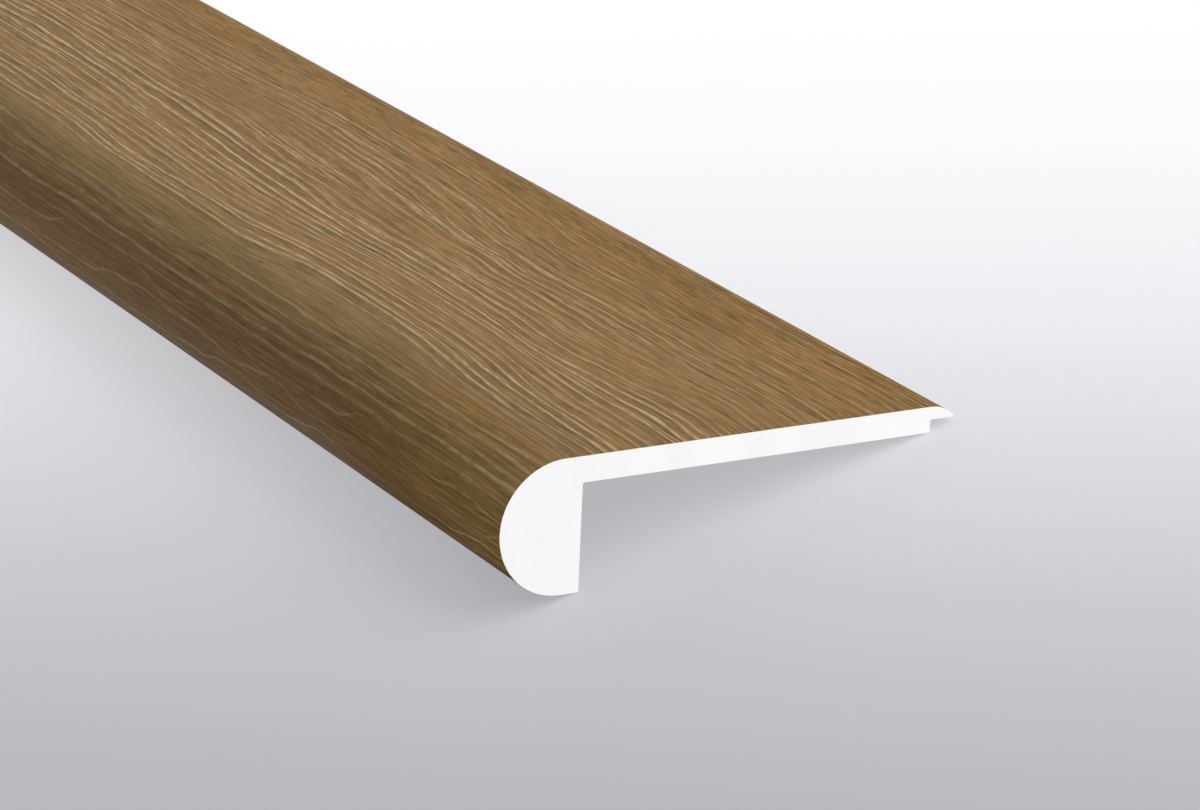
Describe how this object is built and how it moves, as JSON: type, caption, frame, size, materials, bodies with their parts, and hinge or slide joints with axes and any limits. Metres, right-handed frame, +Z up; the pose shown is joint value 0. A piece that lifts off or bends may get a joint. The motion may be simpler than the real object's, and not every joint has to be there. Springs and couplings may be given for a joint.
{
  "type": "overlapping stair nosing",
  "caption": "Extruded stair edge trim: a round nose over the front of a tread, a thin flat plate on top of it and a lip that overlaps the floor planks; oak look on a white core.",
  "frame": {"origin": "middle of the part's box, at floor level: the part lies as it comes to rest, tipped back on the heel of its nose and the back corner of its plate", "axes": "+X along the length, +Y from the nose to the lip, +Z up; the walking surface is turned 15.86 degrees about X from level, lower at the lip"},
  "size_m": [2.3876, 0.0697, 0.0193],
  "materials": {
    "oak_film_pvc": "satin"
  },
  "bodies": {
    "root": {"stair_nosing": "oak_film_pvc"}
  },
  "joints": []
}
